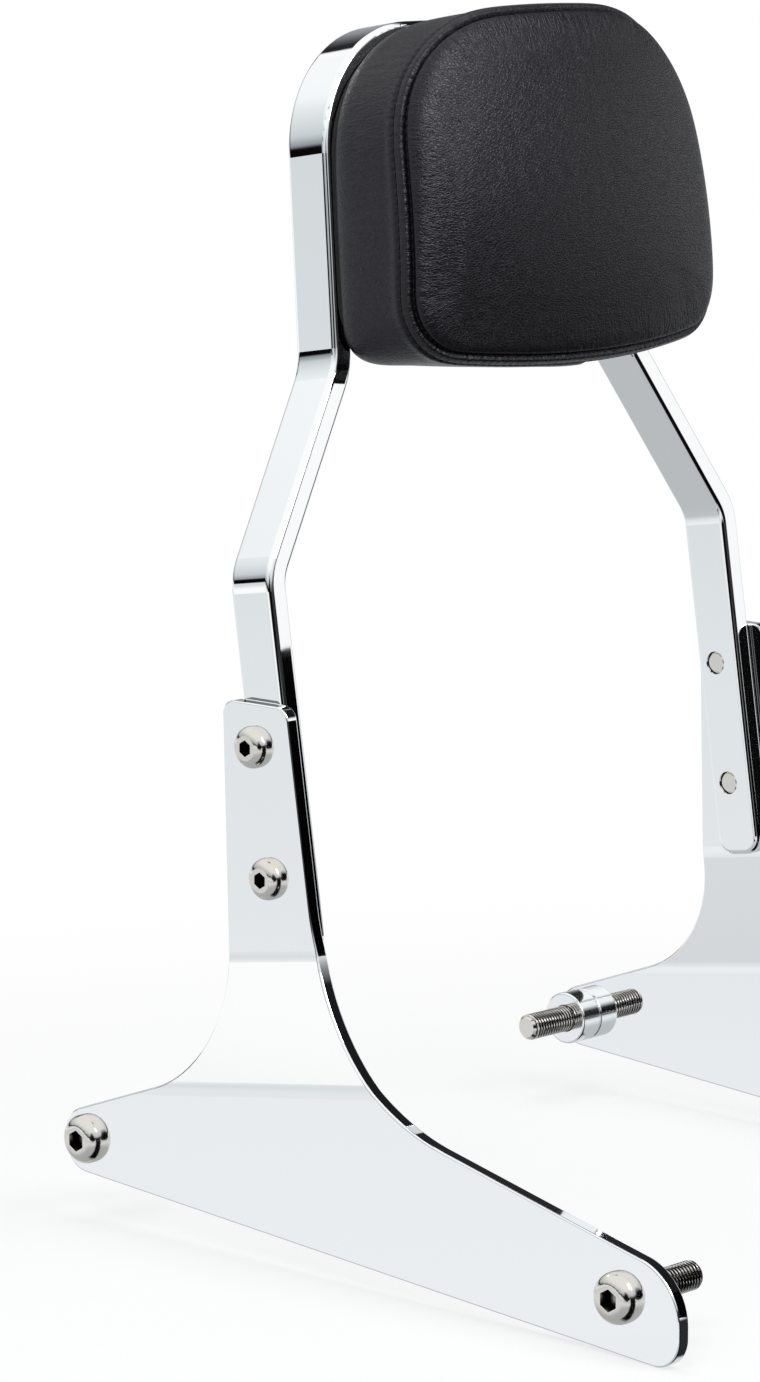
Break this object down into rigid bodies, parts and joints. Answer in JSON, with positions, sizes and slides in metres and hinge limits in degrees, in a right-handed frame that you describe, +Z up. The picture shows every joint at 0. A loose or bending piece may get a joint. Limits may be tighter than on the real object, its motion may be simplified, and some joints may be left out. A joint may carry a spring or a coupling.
{
  "type": "sissy bar",
  "caption": "Motorbike passenger backrest: a leaning chromed bar hoop with a stitched black pad, on shaped side plates that bolt to the fender rails.",
  "frame": {"origin": "on the mid plane, on the common axis of the two front rail screws", "axes": "+X across the bike to its left, -Y forwards, +Z up"},
  "size_m": [0.3364, 0.3395, 0.509],
  "materials": {
    "bar_chrome": "polished chrome plate",
    "plate_chrome": "polished chrome plate",
    "spacer_chrome": "turned and chromed",
    "stainless": "polished stainless steel",
    "vinyl": "creased black vinyl",
    "backing": "black felted sheet",
    "foam": "moulded foam",
    "board": "moulded board"
  },
  "bodies": {
    "root": {"upright_hoop": "bar_chrome", "lower_cross_strap": "bar_chrome", "upper_cross_strap": "bar_chrome", "right_side_plate": "plate_chrome", "left_side_plate": "plate_chrome", "upright_screws": "stainless", "rail_screws": "stainless", "pad_screws": "stainless", "pad_washers": "stainless", "pad_tee_nuts": "stainless", "rail_spacers": "spacer_chrome", "pad_front_panel": "vinyl", "pad_side_band": "vinyl", "pad_back_sheet": "backing", "pad_foam": "foam", "pad_board": "board"}
  },
  "joints": []
}
